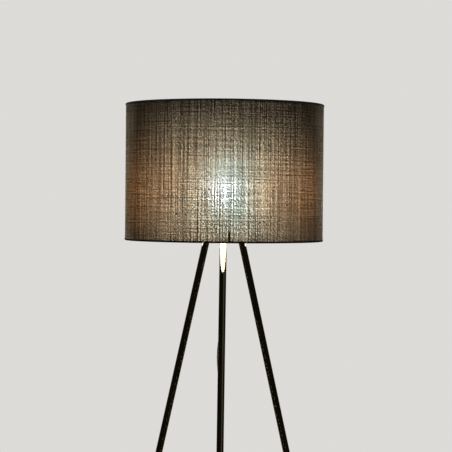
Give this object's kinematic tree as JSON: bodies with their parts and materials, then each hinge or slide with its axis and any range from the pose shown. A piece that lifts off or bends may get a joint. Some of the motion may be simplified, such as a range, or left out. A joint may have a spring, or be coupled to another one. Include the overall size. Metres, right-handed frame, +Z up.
{
  "type": "tripod floor lamp",
  "caption": "Floor lamp with a linen drum shade on a turned hub, splayed polished brass legs with rubber feet, a screw-in frosted bulb, and a cord with foot switch and plug.",
  "frame": {"origin": "on the floor, under the middle of the standing lamp's box; the lamp's own axis is 68.2 mm behind it, towards +Y", "axes": "+Z up along the lamp's axis, the front leg towards -Y, +X to the right as seen from the front"},
  "size_m": [0.6288, 0.5864, 1.509],
  "materials": {
    "linen": "natural slub linen, warm grey-brown, lit from behind",
    "backing": "stiff white lampshade backing film, satin",
    "edge_tape": "black woven edge tape, matt",
    "wire": "black lacquered steel wire, satin",
    "brass": "polished antique brass, mirror-like with fine hairlines",
    "steel": "zinc-plated steel, satin",
    "foot_rubber": "black moulded rubber, matt",
    "holder_black": "black thermoset plastic, satin",
    "holder_white": "unglazed white porcelain",
    "contact_brass": "bare pressed brass, satin",
    "bulb_metal": "bright rolled aluminium",
    "bulb_black": "black glass insulator, gloss",
    "bulb_frosted": "frosted white glass, lit",
    "bulb_clear": "clear stem glass",
    "bulb_stick": "yellow phosphor sticks, lit",
    "cord": "dark grey smooth cord sheath, satin",
    "tie": "black hook-and-loop strap",
    "switch_black": "black moulded plastic, fine texture",
    "spring_steel": "bright spring steel",
    "pin_nickel": "nickel-plated brass, bright"
  },
  "bodies": {
    "lamp": {"shade_fabric": "linen", "shade_backing": "backing", "shade_top_ring": "wire", "shade_spider": "wire", "shade_top_tape": "edge_tape", "shade_bottom_tape": "edge_tape", "leg_front": "brass", "leg_right": "brass", "leg_left": "brass", "foot_front": "foot_rubber", "foot_right": "foot_rubber", "foot_left": "foot_rubber", "leg_plugs": "contact_brass", "leg_studs": "steel", "hub_body": "brass", "hub_nipple": "steel", "hub_washer": "steel", "hub_nut": "steel", "cord_gland": "holder_black", "cord_in_nipple": "cord", "holder_cap": "holder_black", "holder_skirt": "holder_black", "holder_insert": "holder_white", "holder_shell": "contact_brass", "holder_contact": "contact_brass", "clamp_ring_lower": "holder_black", "clamp_ring_upper": "holder_black", "cord_drop": "cord", "cord_lead": "cord", "cord_coil": "cord", "coil_tie": "tie", "cord_end": "cord", "switch_base": "switch_black", "switch_cover": "switch_black", "switch_spring": "spring_steel", "switch_terminals": "contact_brass", "switch_sleeves": "switch_black", "plug_body": "switch_black", "plug_pins": "pin_nickel"},
    "bulb_tip": {"bulb_tip": "bulb_metal"},
    "bulb": {"bulb_insulator": "bulb_black", "bulb_cap": "bulb_metal", "bulb_glass": "bulb_frosted", "bulb_stem": "bulb_clear", "bulb_sticks": "bulb_stick"},
    "switch_button": {"switch_button": "switch_black"}
  },
  "joints": [
    {"name": "bulb_lift", "type": "slide", "parent": "lamp", "child": "bulb_tip", "axis": [0, 0, 1], "range_m": [0, 0.0146]},
    {"name": "bulb_turn", "type": "hinge", "parent": "bulb_tip", "child": "bulb", "pos_m": [0, 0.0682, 1.2465], "axis": [0, 0, 1], "range_deg": [0, 1440]},
    {"name": "switch_press", "type": "slide", "parent": "lamp", "child": "switch_button", "axis": [0, 0, -1], "range_m": [0, 0.0025], "stiffness_N_per_m": 600, "springref_m": -0.002, "deforming": ["switch_spring"]}
  ],
  "couplings": [
    {"joint": "bulb_lift", "follows": "bulb_turn", "m_per_rad": 0.00057757}
  ]
}
